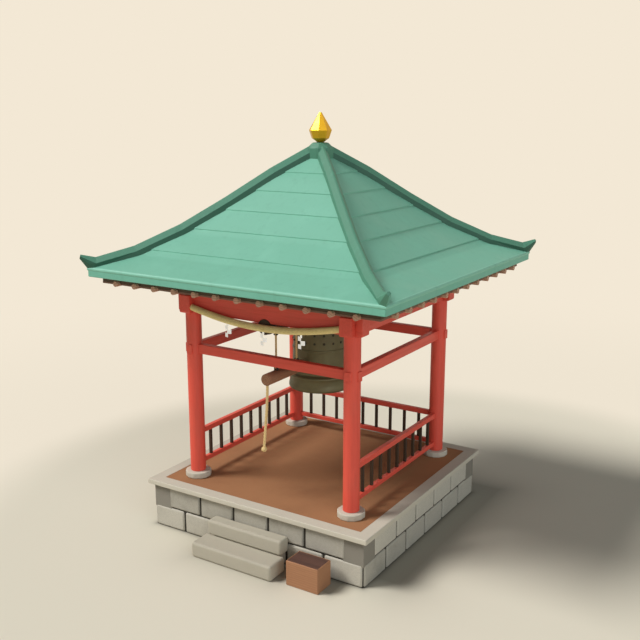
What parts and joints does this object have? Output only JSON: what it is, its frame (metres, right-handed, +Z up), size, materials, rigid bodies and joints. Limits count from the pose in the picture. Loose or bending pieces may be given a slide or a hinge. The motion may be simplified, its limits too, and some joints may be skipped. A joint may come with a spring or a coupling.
{
  "type": "temple bell pavilion",
  "caption": "Open square bell pavilion on a stone podium, with round pillars, a curved hipped roof, a hanging bell and a rope-hung striker log that swings.",
  "frame": {"origin": "on the ground under the finial, at the centre of the podium's footprint", "axes": "+Z up, -Y towards the steps at the front, +X to the right when facing the steps"},
  "size_m": [5.5598, 5.5598, 6.89],
  "materials": {
    "dark_stone": "rough",
    "block_stone": "rough",
    "pale_stone": "rough",
    "floor_clay": "matte",
    "red_lacquered_wood": "satin",
    "dark_wood": "matte",
    "rafter_wood": "matte",
    "striker_wood": "matte",
    "bronze": "satin",
    "black_iron": "satin",
    "straw": "matte",
    "white_paper": "matte",
    "hemp_rope": "matte",
    "green_copper": "satin",
    "gilded_metal": "gloss",
    "box_wood": "matte",
    "box_lid_wood": "matte"
  },
  "bodies": {
    "pavilion": {"podium_core": "dark_stone", "podium_lower_course": "block_stone", "podium_upper_course": "block_stone", "podium_coping": "pale_stone", "floor_slab": "floor_clay", "step_lower": "pale_stone", "step_upper": "pale_stone", "step_bearer": "pale_stone", "pillar_base_stones": "pale_stone", "pillar_front_left": "red_lacquered_wood", "pillar_front_right": "red_lacquered_wood", "pillar_back_left": "red_lacquered_wood", "pillar_back_right": "red_lacquered_wood", "tie_beam_front": "red_lacquered_wood", "tie_beam_right": "red_lacquered_wood", "tie_beam_back": "red_lacquered_wood", "tie_beam_left": "red_lacquered_wood", "head_beam_front": "red_lacquered_wood", "head_beam_right": "red_lacquered_wood", "head_beam_back": "red_lacquered_wood", "head_beam_left": "red_lacquered_wood", "wall_plate": "red_lacquered_wood", "railing_left_rails": "red_lacquered_wood", "railing_left_balusters": "dark_wood", "railing_back_rails": "red_lacquered_wood", "railing_back_balusters": "dark_wood", "railing_right_rails": "red_lacquered_wood", "railing_right_balusters": "dark_wood", "bell_beam": "dark_wood", "bell_beam_straps": "black_iron", "bell": "bronze", "bell_pin": "black_iron", "beam_clevises": "black_iron", "straw_rope": "straw", "paper_streamers": "white_paper", "ceiling_board": "dark_wood", "rafters_front": "rafter_wood", "rafters_right": "rafter_wood", "rafters_back": "rafter_wood", "rafters_left": "rafter_wood", "roof_panel_front": "green_copper", "roof_panel_right": "green_copper", "roof_panel_back": "green_copper", "roof_panel_left": "green_copper", "hip_ridge_front_left": "green_copper", "hip_ridge_front_right": "green_copper", "hip_ridge_back_left": "green_copper", "hip_ridge_back_right": "green_copper", "roof_cap": "green_copper", "finial": "gilded_metal", "offertory_box": "box_wood", "offertory_box_lid": "box_lid_wood"},
    "front_rope": {"suspension_rope_front": "hemp_rope"},
    "striker": {"striker_log": "striker_wood", "striker_clevises": "black_iron", "pull_rope": "hemp_rope", "pull_rope_knob": "hemp_rope"},
    "rear_rope": {"suspension_rope_rear": "hemp_rope"}
  },
  "joints": [
    {"name": "striker_swing", "type": "hinge", "parent": "pavilion", "child": "front_rope", "pos_m": [0, -1.32, 3.487], "axis": [1, 0, 0], "range_deg": [-12, 4.5]},
    {"name": "striker_on_front_rope", "type": "hinge", "parent": "front_rope", "child": "striker", "pos_m": [0, -1.32, 2.923], "axis": [1, 0, 0], "range_deg": [-4.5, 12]},
    {"name": "rear_rope_swing", "type": "hinge", "parent": "pavilion", "child": "rear_rope", "pos_m": [0, -0.737, 3.487], "axis": [1, 0, 0], "range_deg": [-12, 4.5]}
  ],
  "couplings": [
    {"joint": "striker_on_front_rope", "follows": "striker_swing", "ratio": -1},
    {"joint": "rear_rope_swing", "follows": "striker_swing", "ratio": 1}
  ]
}
